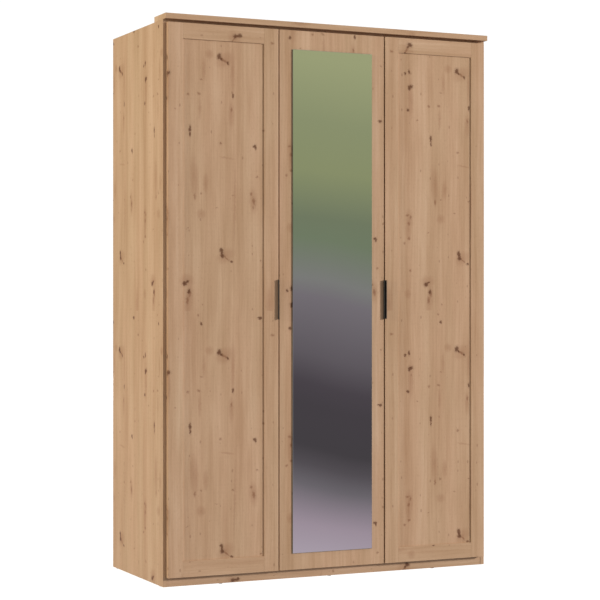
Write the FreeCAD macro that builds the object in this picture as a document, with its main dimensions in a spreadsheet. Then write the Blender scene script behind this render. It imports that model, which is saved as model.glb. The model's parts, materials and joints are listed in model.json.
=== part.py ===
# A three-door wardrobe in knock-down board construction: two framed doors, a mirror door between them,
# and behind them a narrow shelf compartment on the left and a wide hanging compartment on the right.
# Millimetres, +Z up. The doors face -Y and the origin is on the floor under the middle of the object's box.
import FreeCAD, Part
import os
import re
import Sketcher
from collections import defaultdict
from FreeCAD import Placement, Rotation, Vector

EAST = Vector(1, 0, 0)
WEST = Vector(-1, 0, 0)
BACKWARD = Vector(0, 1, 0)
FORWARD = Vector(0, -1, 0)
UP = Vector(0, 0, 1)
DOWN = Vector(0, 0, -1)

# ---------------------------------------------------------------------------- driving dimensions
DRIVING = (
    ("carcass_width", 1350, "outside width over the side panels"),
    ("carcass_depth", 555, "depth of the side panels"),
    ("side_top", 2066, "top edge of the side panels above the floor"),
    ("board", 16, "thickness of the carcass boards"),
    ("back_sheet", 3, "thickness of the hardboard back"),
    ("profile_skin", 1, "flange thickness of the back joint profile"),
    ("glide", 2, "thickness of the floor glides"),
    ("glide_radius", 7, "radius of a floor glide"),
    ("plinth_top", 35, "top of the plinth, which is the underside of the bottom panel"),
    ("plinth_setback", 1, "front plinth behind the front edges"),
    ("rear_plinth_inset", 60, "rear plinth in from the rear edges"),
    ("cornice_thick", 20, "thickness of the cornice board"),
    ("cornice_depth", 118, "depth of the cornice board"),
    ("cornice_reach", 27, "cornice forward of the carcass front"),
    ("door_gap", 5, "gap between two doors"),
    ("door_margin", 12, "outer door edges in from the side panels' outer faces"),
    ("front_gap", 3, "gap between the carcass front and the backs of the doors"),
    ("plain_thick", 16, "thickness of the plain door"),
    ("framed_thick", 18, "thickness of the framed doors"),
    ("door_low", 36, "lower edge of the doors above the floor"),
    ("door_tall", 2019, "height of the doors"),
    ("frame", 58, "width of the stiles and the rails of a framed door"),
    ("recess", 4, "field panel behind the face of its frame"),
    ("panel_thick", 8, "thickness of a field panel"),
    ("groove", 8, "depth of the groove round a field panel"),
    ("mirror_wide", 333, "width of the mirror"),
    ("mirror_tall", 1886, "height of the mirror"),
    ("mirror_low", 61.5, "lower edge of the mirror above the lower edge of its door"),
    ("mirror_glass", 3, "thickness of the mirror glass"),
    ("mirror_tape", 1, "thickness of the mounting tape behind the mirror"),
    ("tape_wide", 25, "width of one strip of mounting tape"),
    ("handle_tall", 148, "height of a handle"),
    ("handle_middle", 1047.5, "middle of a handle above the floor"),
    ("handle_reach", 8, "handle forward of the door's face"),
    ("handle_lip", 3, "width of a handle's front lip"),
    ("handle_metal", 1.6, "metal thickness of a handle"),
    ("handle_back", 20, "width of a handle's back flange"),
    ("handle_screw_span", 100, "distance between a handle's two screws"),
    ("shelf_deep", 520, "depth of the shelves"),
    ("shelf_setback", 20, "shelves behind the carcass front"),
    ("shelf_slack", 0.5, "gap at each end of a loose shelf"),
    ("shelf_pitch", 399, "height from one shelf to the next"),
    ("pin_front", 62, "front shelf pins behind the carcass front"),
    ("pin_rear", 75, "rear shelf pins in from the rear edges"),
    ("hat_shelf_low", 1700, "underside of the hat shelf above the floor"),
    ("rail_drop", 60, "middle of the hanging rail below the hat shelf"),
    ("rail_tall", 30, "height of the hanging rail's oval section"),
    ("rail_wide", 15, "width of the hanging rail's oval section"),
    ("rail_wall", 1.2, "wall thickness of the hanging rail"),
    ("hinge_inset", 95, "outer hinges in from the ends of a door"),
    ("pivot_in", 7.25, "hinge pivot in from the door's hinge edge"),
    ("pivot_deep", 9.5, "hinge pivot in from the back of the door"),
    ("cup_radius", 17.5, "radius of a hinge cup"),
    ("cup_deep", 13, "depth of a hinge cup in the door"),
    ("cup_in", 20.5, "middle of a hinge cup in from the door's hinge edge"),
    ("pin_radius", 1.2, "radius of a hinge pin"),
    ("arm_half", 4.5, "half the height of a hinge arm"),
    ("cam_radius", 7.5, "radius of a cam lock"),
    ("cam_in", 24, "middle of a cam lock in from the end of its board"),
    ("dowel_radius", 4, "radius of a dowel"),
    ("clearance", 0.1, "radial clearance of a bore round its fastener"),
)

# Places and sizes that follow from the driving dimensions.
DERIVED = {
    "overhang": "handle_reach + framed_thick + front_gap",
    "box_half": "(overhang + carcass_depth + back_sheet + profile_skin) / 2",
    "front": "overhang - box_half",
    "rear": "front + carcass_depth",
    "door_back": "front - front_gap",
    "plain_face": "door_back - plain_thick",
    "framed_face": "door_back - framed_thick",
    "west_face": "-carcass_width / 2",
    "east_face": "carcass_width / 2",
    "inner_west": "west_face + board",
    "inner_east": "east_face - board",
    "door_wide": "(carcass_width - 2 * door_margin - 2 * door_gap) / 3",
    "partition_middle": "west_face + door_margin + door_wide + door_gap / 2",
    "partition_west": "partition_middle - board / 2",
    "partition_east": "partition_middle + board / 2",
    "bottom_top": "plinth_top + board",
    "top_low": "side_top - board",
    "carcass_middle": "front + carcass_depth / 2",
    "shelf_front": "front + shelf_setback",
    "shelf_middle": "shelf_front + shelf_deep / 2",
    "back_seam": "(partition_east + inner_east) / 2",
    "handle_low": "handle_middle - handle_tall / 2",
    "rail_middle": "hat_shelf_low - rail_drop",
    "hinge_pitch": "(door_tall - 2 * hinge_inset) / 3",
}
DRIVEN = {alias for alias, value, note in DRIVING}
HINGES_PER_DOOR = 4
SHELVES = 4

doc = FreeCAD.newDocument("wardrobe")
sheet = doc.addObject("Spreadsheet::Sheet", "sizes")
for row, (alias, value, note) in enumerate(DRIVING, 1):
    sheet.set(f"A{row}", note)
    sheet.set(f"B{row}", str(value))
    sheet.setAlias(f"B{row}", alias)
doc.recompute()


def expression(text):
    """Write sums of size names as an expression on the sheet."""

    def spell(match):
        word = match.group(0)
        if word in DRIVEN:
            return "sizes." + word
        return "(" + expression(DERIVED[word]) + ")"

    return re.sub(r"[a-z][a-z_]+", spell, text)


def at(text):
    """The value, in millimetres, of a sum of size names."""
    return float(sheet.evalExpression(expression(text)))


# ---------------------------------------------------------------------------- building blocks
bores = defaultdict(list)
seats = defaultdict(list)
nodes = []


def box(name, low, span):
    """A box from its lowest corner, its place and size bound to the sheet."""
    shape = doc.addObject("Part::Box", name)
    for side, text in zip(("Length", "Width", "Height"), span):
        shape.setExpression(side, expression(text))
    for axis, text in zip("xyz", low):
        shape.setExpression("Placement.Base." + axis, expression(text))
    return shape


def feature(name, shape):
    """A document object for a shape that no single primitive makes."""
    item = doc.addObject("Part::Feature", name)
    item.Shape = shape
    return item


def node(item, name):
    """Give a finished sub-part its name."""
    item.Label = name
    nodes.append(item)
    return item


def cut(name, blank, tools):
    """A blank less its tools, each a document object."""
    result = doc.addObject("Part::Cut", name)
    result.Base = blank
    if len(tools) == 1:
        result.Tool = tools[0]
        return result
    joined = doc.addObject("Part::MultiFuse", name + "_cutters")
    joined.Shapes = tools
    result.Tool = joined
    return result


def board(name, low, span, cutters=()):
    """A board with the seats and bores that its joints and fittings have asked for."""
    blank = box(name + "_blank", low, span)
    return shaped(name, blank, cutters)


def shaped(name, blank, cutters=()):
    """A blank less its cutters, its seats and its bores."""
    tools = list(cutters) + seats[name]
    if bores[name]:
        tools.append(feature(name + "_bores", Part.makeCompound(bores[name])))
    if not tools:
        return node(blank, name)
    return node(cut(name, blank, tools), name)


def bore(name, start, direction, radius, deep):
    """Ask for a round bore in a board, from a point on its surface."""
    bores[name].append(Part.makeCylinder(radius, deep, start, direction))


def group(name, solids):
    """Identical fittings that share one node."""
    return node(feature(name, Part.makeCompound(solids)), name)


def placed(shape, base, along, up):
    """A copy of a shape with its own X along one direction and its own Z up another."""
    copy = shape.copy()
    copy.Placement = Placement(base, Rotation(along, up.cross(along), up, "XZY"))
    return copy


# ---------------------------------------------------------------------------- cam joints and dowels
CAM_TALL = 12.5
CAM_SLOT_LONG = 9
CAM_SLOT_WIDE = 1.4
CAM_SLOT_DEEP = 2.2
BOLT_DEEP = 11
BOLT_RADIUS = 3
BOLT_CHANNEL = 4
BOLT_POCKET = 10
BOLT_COLLAR = 3.6
BOLT_COLLAR_TALL = 2
BOLT_SHANK = 2.4
BOLT_HEAD = 3.3
BOLT_HEAD_TALL = 3
BOLT_HEAD_BACK = 2.5
BOLT_SHANK_FROM = 1
CAM_OFFSET = 210
DOWEL_OFFSET = 150
DOWEL_CHAMFER = 0.8
DOWEL_IN_FACE = 10
DOWEL_IN_END = 20
CORNICE_DOWEL_IN = 48
BORE_SPARE = 0.5

cam_locks = []
cam_bolts = []
dowels = []


def cam_lock():
    """A cam housing with its bolt pocket and cross slot; X runs along the bolt, Z out of the board."""
    top = at("board") / 2
    radius = at("cam_radius")
    middle = at("cam_in")
    housing = Part.makeCylinder(radius, CAM_TALL, Vector(middle, 0, top - CAM_TALL))
    pocket = Part.makeCylinder(BOLT_COLLAR, BOLT_POCKET, Vector(middle - radius, 0, 0), EAST)
    long = CAM_SLOT_LONG
    wide = CAM_SLOT_WIDE
    low = top - CAM_SLOT_DEEP
    slots = [
        Part.makeBox(long, wide, CAM_SLOT_DEEP, Vector(middle - long / 2, -wide / 2, low)),
        Part.makeBox(wide, long, CAM_SLOT_DEEP, Vector(middle - wide / 2, -long / 2, low)),
    ]
    return housing.cut(pocket.fuse(slots))


def cam_bolt():
    """A cam bolt: thread, collar, shank and head along X, from the face of the drilled board."""
    end = at("cam_in")
    thread = Part.makeCylinder(BOLT_RADIUS, BOLT_DEEP, Vector(-BOLT_DEEP, 0, 0), EAST)
    collar = Part.makeCylinder(BOLT_COLLAR, BOLT_COLLAR_TALL, Vector(0, 0, 0), EAST)
    shank_from = Vector(BOLT_SHANK_FROM, 0, 0)
    shank = Part.makeCylinder(BOLT_SHANK, end - BOLT_COLLAR_TALL, shank_from, EAST)
    head = Part.makeCylinder(BOLT_HEAD, BOLT_HEAD_TALL, Vector(end - BOLT_HEAD_BACK, 0, 0), EAST)
    return thread.fuse([collar, shank, head]).removeSplitter()


def dowel():
    """A beech dowel with chamfered ends."""
    radius = at("dowel_radius")
    long = DOWEL_IN_FACE + DOWEL_IN_END
    blank = Part.makeCylinder(radius, long, Vector(-DOWEL_IN_FACE, 0, 0), EAST)
    ends = [edge for edge in blank.Edges if isinstance(edge.Curve, Part.Circle)]
    return blank.makeChamfer(DOWEL_CHAMFER, ends)


CAM_LOCK = cam_lock()
CAM_BOLT = cam_bolt()
DOWEL = dowel()


def dowel_joint(face_board, end_board, point, along, up):
    """One dowel from the face of a board into the end of another."""
    radius = at("dowel_radius + clearance")
    dowels.append(placed(DOWEL, point, along, up))
    bore(face_board, point, -along, radius, DOWEL_IN_FACE + BORE_SPARE)
    bore(end_board, point, along, radius, DOWEL_IN_END + BORE_SPARE)


def cam_joint(face_board, end_board, point, along, up):
    """One cam lock and its bolt; the cam is let into the face of the end board that looks up."""
    gap = at("clearance")
    cam_locks.append(placed(CAM_LOCK, point, along, up))
    cam_bolts.append(placed(CAM_BOLT, point, along, up))
    bore(face_board, point, -along, BOLT_RADIUS + gap, BOLT_DEEP + BORE_SPARE)
    bore(end_board, point, along, BOLT_CHANNEL, at("cam_in"))
    seat = point + along * at("cam_in") + up * (at("board") / 2)
    bore(end_board, seat, -up, at("cam_radius") + gap, CAM_TALL + gap)


def board_joint(face_board, end_board, point, along, up):
    """Two cam joints and two dowels, in line from the front of a board to its rear."""
    for offset in (-CAM_OFFSET, CAM_OFFSET):
        cam_joint(face_board, end_board, point + BACKWARD * offset, along, up)
    for offset in (-DOWEL_OFFSET, DOWEL_OFFSET):
        dowel_joint(face_board, end_board, point + BACKWARD * offset, along, up)


def carcass_joints():
    """Every cam joint and dowel between the boards of the carcass."""
    middle = at("carcass_middle")
    top = at("top_low + board / 2")
    bottom = at("plinth_top + board / 2")
    hat = at("hat_shelf_low + board / 2")
    west = at("inner_west")
    east = at("inner_east")
    partition = at("partition_middle")
    board_joint("side_panel_left", "top_panel", Vector(west, middle, top), EAST, UP)
    board_joint("side_panel_right", "top_panel", Vector(east, middle, top), WEST, UP)
    board_joint("side_panel_left", "bottom_panel", Vector(west, middle, bottom), EAST, DOWN)
    board_joint("side_panel_right", "bottom_panel", Vector(east, middle, bottom), WEST, DOWN)
    board_joint("top_panel", "partition_panel", Vector(partition, middle, at("top_low")), DOWN, WEST)
    board_joint("bottom_panel", "partition_panel", Vector(partition, middle, at("bottom_top")), UP, WEST)
    shelf = at("shelf_middle")
    board_joint("partition_panel", "hat_shelf", Vector(at("partition_east"), shelf, hat), EAST, DOWN)
    board_joint("side_panel_right", "hat_shelf", Vector(east, shelf, hat), WEST, DOWN)
    plinth = at("(glide + plinth_top) / 2")
    fronts = {
        "plinth_front": at("front + plinth_setback + board / 2"),
        "plinth_rear": at("rear - rear_plinth_inset - board / 2"),
    }
    for name, depth in fronts.items():
        dowel_joint("side_panel_left", name, Vector(west, depth, plinth), EAST, UP)
        dowel_joint("side_panel_right", name, Vector(east, depth, plinth), WEST, UP)
    over = at("side_top")
    seat = at("front") + CORNICE_DOWEL_IN
    below = {
        "side_panel_left": (at("west_face + board / 2"),),
        "side_panel_right": (at("east_face - board / 2"),),
        "top_panel": (at("west_face / 2"), at("east_face / 2")),
    }
    for name, places in below.items():
        for place in places:
            dowel_joint(name, "cornice", Vector(place, seat, over), UP, EAST)


# ---------------------------------------------------------------------------- screws
SCREW_RADIUS = 1.5
SCREW_HEAD = 3
SCREW_CONE = 1.6
SCREW_LONG = 13
SCREW_PLAY = 0.06
CROSS_LONG = 2.4
CROSS_WIDE = 0.6
CROSS_DEEP = 1


def wood_screw(play=0):
    """A countersunk screw along +Z, from the flat of its head at the origin down to its tip."""
    head = Part.makeCone(SCREW_HEAD + play, SCREW_RADIUS + play, SCREW_CONE, Vector(0, 0, 0), DOWN)
    shank = Part.makeCylinder(SCREW_RADIUS + play, SCREW_LONG + play, Vector(0, 0, 0), DOWN)
    shape = head.fuse(shank).removeSplitter()
    if play == 0:
        long = CROSS_LONG
        wide = CROSS_WIDE
        slot = Part.makeBox(long, wide, CROSS_DEEP, Vector(-long / 2, -wide / 2, -CROSS_DEEP))
        crossed = Part.makeBox(wide, long, CROSS_DEEP, Vector(-wide / 2, -long / 2, -CROSS_DEEP))
        shape = shape.cut(slot.fuse(crossed))
    return shape


def driven(point, outward, play=0):
    """A wood screw, or the bore for it, with its head flat at a point and its tip away from outward."""
    across = UP if abs(outward.z) < 0.5 else EAST
    return placed(wood_screw(play), point, across, outward)


# ---------------------------------------------------------------------------- hinges
# Every hinge is worked out round its own pivot: the first number runs from the door's hinge edge along the
# door, the second backward into the carcass, the third up.
ARM_NEAR = 13
ARM_FAR = 15
ARM_RADIUS = 2.3
ARM_STRAP = 1.2
FOOT_FROM = 24
FOOT_TO = 50
PLATE_THICK = 2
PLATE_FROM = 20
PLATE_TO = 54
PLATE_HALF = 24
PLATE_SCREW_BACK = 37
PLATE_SCREW_HALF = 16
EURO_RADIUS = 3
EURO_DEEP = 11
EURO_HEAD = 4.5
EURO_HEAD_TALL = 1.5
EURO_SLOT_WIDE = 1
EURO_SLOT_DEEP = 0.8
EURO_SLOT_LONG = 6
CUP_WALL = 0.7
CUP_RIM = 1
FLANGE_THICK = 1
FLANGE_HALF = 29
FLANGE_NEAR = 9
FLANGE_FAR = 12
CUP_SCREW_ALONG = 5
CUP_SCREW_HALF = 24
EAR_FROM = 5
EAR_TO = 8
PIN_PLAY = 0.05
EAR_PLAY = 0.02

hinge_plates = []
hinge_arms = []
plate_screws = []


def block(sense, along, backward, upward):
    """A box in the pivot's own directions; sense is 1 for a left hinge and -1 for a right one."""
    low = min(sense * along[0], sense * along[1])
    corner = Vector(low, backward[0], upward[0])
    return Part.makeBox(
        along[1] - along[0], backward[1] - backward[0], upward[1] - upward[0], corner
    )


def hinge_plate(sense, face, reach):
    """The plate on the carcass board, whose face is at face; reach is the carcass front from the pivot."""
    deep = (reach + PLATE_FROM, reach + PLATE_TO)
    plate = block(sense, (face, face + PLATE_THICK), deep, (-PLATE_HALF, PLATE_HALF))
    for height in (-PLATE_SCREW_HALF, PLATE_SCREW_HALF):
        start = Vector(sense * face, reach + PLATE_SCREW_BACK, height)
        hole = Part.makeCylinder(EURO_RADIUS + PIN_PLAY, PLATE_THICK, start, EAST * sense)
        plate = plate.cut(hole)
    return plate


def hinge_arm(sense, face, reach):
    """The fixed arm: a ring round the pin, a cranked strap out of the cup and a foot on the plate."""
    half = at("arm_half")
    ring = Part.makeCylinder(ARM_RADIUS, 2 * half, Vector(0, 0, -half))
    crank = block(sense, (0, ARM_FAR), (-ARM_STRAP, ARM_STRAP), (-half, half))
    strap = block(sense, (ARM_NEAR, ARM_FAR), (-ARM_STRAP, reach + PLATE_TO), (-half, half))
    on_plate = (reach + FOOT_FROM, reach + FOOT_TO)
    foot = block(sense, (face + PLATE_THICK, ARM_FAR), on_plate, (-half, half))
    hole = Part.makeCylinder(at("pin_radius") + PIN_PLAY, 2 * half, Vector(0, 0, -half))
    return ring.fuse([crank, strap, foot]).cut(hole).removeSplitter()


def euro_screw(sense, face, reach, height):
    """A thick plate screw in the carcass board."""
    along = EAST * sense
    start = Vector(sense * (face - EURO_DEEP), reach + PLATE_SCREW_BACK, height)
    shank = Part.makeCylinder(EURO_RADIUS, EURO_DEEP + PLATE_THICK, start, along)
    head_at = Vector(sense * (face + PLATE_THICK), reach + PLATE_SCREW_BACK, height)
    head = Part.makeCylinder(EURO_HEAD, EURO_HEAD_TALL, head_at, along)
    deep = EURO_SLOT_DEEP
    slot_at = head_at + along * (EURO_HEAD_TALL - deep)
    slot_at = slot_at - Vector(0, EURO_SLOT_WIDE / 2, EURO_SLOT_LONG / 2)
    slot_low = slot_at if sense > 0 else slot_at - EAST * deep
    slot = Part.makeBox(deep, EURO_SLOT_WIDE, EURO_SLOT_LONG, slot_low)
    return shank.fuse(head).cut(slot)


def hinge_cup(sense):
    """The cup let into the door, with its flange and the two ears that hold the pin."""
    radius = at("cup_radius")
    middle = at("cup_in - pivot_in")
    mouth = at("pivot_deep")
    floor = mouth - at("cup_deep")
    pin = at("pin_radius")
    centre = sense * middle
    outside = Part.makeCylinder(radius, mouth - floor, Vector(centre, floor, 0), BACKWARD)
    rim = Part.makeCylinder(radius + CUP_RIM, FLANGE_THICK, Vector(centre, mouth, 0), BACKWARD)
    wide = (middle - FLANGE_NEAR, middle + FLANGE_FAR)
    flange = block(sense, wide, (mouth, mouth + FLANGE_THICK), (-FLANGE_HALF, FLANGE_HALF))
    hollow_deep = mouth + FLANGE_THICK - floor - CUP_WALL
    hollow = Part.makeCylinder(radius - CUP_WALL, hollow_deep, Vector(centre, floor + CUP_WALL, 0), BACKWARD)
    cup = outside.fuse([rim, flange]).cut(hollow)
    ears = [
        block(sense, (-ARM_RADIUS, ARM_RADIUS), (floor + CUP_WALL / 2, ARM_RADIUS), (low, high))
        for low, high in ((EAR_FROM, EAR_TO), (-EAR_TO, -EAR_FROM))
    ]
    hole = Part.makeCylinder(pin + EAR_PLAY, 2 * EAR_TO, Vector(0, 0, -EAR_TO))
    cup = cup.fuse(ears).cut(hole)
    for point in cup_screw_points(sense):
        cup = cup.cut(driven(point, BACKWARD, SCREW_PLAY))
    return cup


def cup_screw_points(sense):
    """The heads of the two screws that hold a cup, from the pivot."""
    along = at("cup_in - pivot_in") + CUP_SCREW_ALONG
    depth = at("pivot_deep") + FLANGE_THICK
    return [Vector(sense * along, depth, height) for height in (-CUP_SCREW_HALF, CUP_SCREW_HALF)]


def hinge_set(number, hinge_board, carcass_board, edge, face, sense):
    """All the hinges of one door, with the bores that they need."""
    pivot = Vector(edge + sense * at("pivot_in"), at("door_back - pivot_deep"), 0)
    panel = (face - pivot.x) * sense
    reach = at("front") - pivot.y
    plate = hinge_plate(sense, panel, reach)
    arm = hinge_arm(sense, panel, reach)
    cup = hinge_cup(sense)
    half = EAR_TO
    pin = Part.makeCylinder(at("pin_radius"), 2 * half, Vector(0, 0, -half))
    cups = []
    pins = []
    screws = []
    for count in range(HINGES_PER_DOOR):
        place = pivot + UP * at(f"door_low + hinge_inset + {count} * hinge_pitch")
        hinge_plates.append(plate.translated(place))
        hinge_arms.append(arm.translated(place))
        cups.append(cup.translated(place))
        pins.append(pin.translated(place))
        for height in (-PLATE_SCREW_HALF, PLATE_SCREW_HALF):
            plate_screws.append(euro_screw(sense, panel, reach, height).translated(place))
            start = place + Vector(sense * panel, reach + PLATE_SCREW_BACK, height)
            bore(carcass_board, start, WEST * sense, EURO_RADIUS + PIN_PLAY, EURO_DEEP + BORE_SPARE)
        mouth = place + Vector(sense * at("cup_in - pivot_in"), at("pivot_deep"), 0)
        bore(hinge_board, mouth, FORWARD, at("cup_radius + clearance"), at("cup_deep + clearance"))
        for point in cup_screw_points(sense):
            screws.append(driven(place + point, BACKWARD))
            bores[hinge_board].append(driven(place + point, BACKWARD, SCREW_PLAY))
    group(f"hinge_cups_{number}", cups)
    group(f"hinge_pins_{number}", pins)
    return screws


# ---------------------------------------------------------------------------- handles
BEND_RADIUS = 1.2
SCREW_ALONG_FLANGE = 0.6


def handle(number, handle_board, edge, thick, sense):
    """A bent metal edge pull let into the free edge of a door; sense is 1 where that edge is on the right."""
    low = "handle_low"
    tip = f"door_back - {thick} - handle_reach"
    parts = {
        "lip": ("handle_lip", tip, "handle_metal"),
        "web": ("handle_metal", tip, f"handle_reach + {thick}"),
        "flange": ("handle_back", "door_back - handle_metal", "handle_metal"),
    }
    name = f"handle_{number}"
    pieces = []
    for part, (wide, start, deep) in parts.items():
        side = f"{edge} - {wide}" if sense > 0 else edge
        pieces.append(box(f"{name}_{part}", (side, start, low), (wide, deep, "handle_tall")))
        if part != "lip":
            wider = f"{edge} - {wide} - clearance" if sense > 0 else edge
            seat = (wider, f"{start} - clearance", f"{low} - clearance")
            room = (f"{wide} + clearance", f"{deep} + 2 * clearance", "handle_tall + 2 * clearance")
            seats[handle_board].append(box(f"{name}_{part}_seat", seat, room))
    blank = doc.addObject("Part::MultiFuse", name + "_bend")
    blank.Shapes = pieces
    blank.Refine = True
    doc.recompute()
    rounded = doc.addObject("Part::Fillet", name + "_rounded")
    rounded.Base = blank
    bends = outer_bends(blank.Shape, at(edge))
    rounded.Edges = [(index, BEND_RADIUS, BEND_RADIUS) for index in bends]
    screws = []
    holes = []
    for side in (-0.5, 0.5):
        across = at(edge) - sense * at("handle_back") * SCREW_ALONG_FLANGE
        height = at(f"handle_middle + {side} * handle_screw_span")
        point = Vector(across, at("door_back"), height)
        screws.append(driven(point, BACKWARD))
        holes.append(driven(point, BACKWARD, SCREW_PLAY))
    bores[handle_board].extend(holes)
    drill = feature(name + "_drill", Part.makeCompound(holes))
    node(cut(name, rounded, [drill]), name)
    return screws


def outer_bends(shape, edge):
    """The numbers of the two upright edges on the outside of a handle's bends."""
    found = []
    for index, line in enumerate(shape.Edges, 1):
        ends = [vertex.Point for vertex in line.Vertexes]
        upright = len(ends) == 2 and abs(ends[0].z - ends[1].z) > 1
        if upright and abs(ends[0].x - edge) < 0.01:
            found.append(index)
    return found


# ---------------------------------------------------------------------------- doors
MIRROR_DOOR = 2


def door_start(number):
    """The left edge of a door, numbered from 1 on the left."""
    return f"(west_face + door_margin + {number - 1} * (door_wide + door_gap))"


def framed_leaf(number):
    """Two stiles with two rails tongued in between them, all grooved round a field panel."""
    name = f"door_{number}"
    start = door_start(number)
    groove_face = "framed_face + recess"
    inside = f"{start} + frame"
    span = "door_wide - 2 * frame"
    upper = "door_low + door_tall - frame"
    wide = "panel_thick + 2 * clearance"
    for side, edge, mouth in (
        ("left", start, f"{inside} - groove"),
        ("right", f"{inside} + {span}", f"{inside} + {span}"),
    ):
        slot = box(
            f"{name}_groove_{side}",
            (mouth, f"{groove_face} - clearance", "door_low - 1"),
            ("groove", wide, "door_tall + 2"),
        )
        post = f"{name}_stile_{side}"
        board(post, (edge, "framed_face", "door_low"), ("frame", "framed_thick", "door_tall"), [slot])
    reach = "groove - clearance"
    tongue_from = f"{inside} - ({reach})"
    tongue_span = f"{span} + 2 * ({reach})"
    for side, low, mouth in (
        ("bottom", "door_low", "door_low + frame - groove"),
        ("top", upper, upper),
    ):
        bar = f"{name}_rail_{side}"
        blank = doc.addObject("Part::MultiFuse", bar + "_blank")
        blank.Shapes = [
            box(bar + "_body", (inside, "framed_face", low), (span, "framed_thick", "frame")),
            box(bar + "_tongue", (tongue_from, groove_face, low), (tongue_span, "panel_thick", "frame")),
        ]
        slot = box(
            f"{name}_groove_{side}",
            (tongue_from, f"{groove_face} - clearance", mouth),
            (tongue_span, wide, "groove"),
        )
        shaped(bar, blank, [slot])
    board(
        f"{name}_panel",
        (tongue_from, groove_face, f"door_low + frame - ({reach})"),
        (tongue_span, "panel_thick", f"door_tall - 2 * frame + 2 * ({reach})"),
    )


TAPE_INSET = 20
TAPE_STRIPS = 3


def mirror_leaf(number):
    """A plain leaf with a mirror on strips of mounting tape."""
    start = door_start(number)
    board(
        f"door_{number}_leaf",
        (start, "plain_face", "door_low"),
        ("door_wide", "plain_thick", "door_tall"),
    )
    side = f"{start} + (door_wide - mirror_wide) / 2"
    low = "door_low + mirror_low"
    glass_at = (side, "plain_face - mirror_tape - mirror_glass", low)
    node(box("mirror", glass_at, ("mirror_wide", "mirror_glass", "mirror_tall")), "mirror")
    strips = []
    for count in range(TAPE_STRIPS):
        pitch = f"(mirror_wide - 2 * {TAPE_INSET} - tape_wide) / {TAPE_STRIPS - 1}"
        across = f"{side} + {TAPE_INSET} + {count} * {pitch}"
        strips.append(
            box(
                f"mirror_tape_{count + 1}",
                (across, "plain_face - mirror_tape", f"{low} + {TAPE_INSET}"),
                ("tape_wide", "mirror_tape", f"mirror_tall - 2 * {TAPE_INSET}"),
            )
        )
    tape = doc.addObject("Part::Compound", "mirror_tape")
    tape.Links = strips
    node(tape, "mirror_tape")


def doors():
    """The three doors with their hinges and handles."""
    plans = (
        (1, 1, "side_panel_left", "inner_west", "door_1_stile_left", "door_1_stile_right"),
        (2, 1, "partition_panel", "partition_east", "door_2_leaf", "door_2_leaf"),
        (3, -1, "side_panel_right", "inner_east", "door_3_stile_right", "door_3_stile_left"),
    )
    for number, sense, carcass_board, face, hinge_board, handle_board in plans:
        start = door_start(number)
        end = f"{start} + door_wide"
        hinge_edge, free_edge = (start, end) if sense > 0 else (end, start)
        thick = "plain_thick" if number == MIRROR_DOOR else "framed_thick"
        screws = hinge_set(number, hinge_board, carcass_board, at(hinge_edge), at(face), sense)
        screws = screws + handle(number, handle_board, free_edge, thick, sense)
        group(f"door_{number}_screws", screws)
        if number == MIRROR_DOOR:
            mirror_leaf(number)
        else:
            framed_leaf(number)


# ---------------------------------------------------------------------------- inside fittings
PIN_OUT = 8
PIN_IN = 8
SHELF_PIN_RADIUS = 2.5
SYSTEM_PITCH = 32


def shelf_fittings():
    """The loose shelves' pins and their rows of bores."""
    pins = []
    for count in range(1, SHELVES + 1):
        under = at(f"bottom_top + {count} * shelf_pitch - board")
        for name, face, into in (
            ("side_panel_left", "inner_west", WEST),
            ("partition_panel", "partition_west", EAST),
        ):
            for depth in ("front + pin_front", "rear - pin_rear"):
                point = Vector(at(face), at(depth), under - SHELF_PIN_RADIUS)
                outer = point - into * PIN_OUT
                pins.append(Part.makeCylinder(SHELF_PIN_RADIUS, PIN_IN + PIN_OUT, outer, into))
                for step in (-1, 0, 1):
                    start = point + UP * (step * SYSTEM_PITCH)
                    bore(name, start, into, SHELF_PIN_RADIUS + PIN_PLAY, PIN_IN + BORE_SPARE)
    group("shelf_pins", pins)


def oval(middle, wide, tall, start, long):
    """A rod of oval section along X."""
    radius = wide / 2
    straight = tall / 2 - radius
    rod = Part.makeBox(long, wide, 2 * straight, Vector(start, middle.y - radius, middle.z - straight))
    ends = [
        Part.makeCylinder(radius, long, Vector(start, middle.y, middle.z + side * straight), EAST)
        for side in (-1, 1)
    ]
    return rod.fuse(ends).removeSplitter()


SOCKET_PLATE = 3
SOCKET_COLLAR = 12
SOCKET_WIDE = 28
SOCKET_TALL = 62
SOCKET_WALL = 2.5
SOCKET_SCREW = 24
RAIL_PLAY = 0.2


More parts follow.
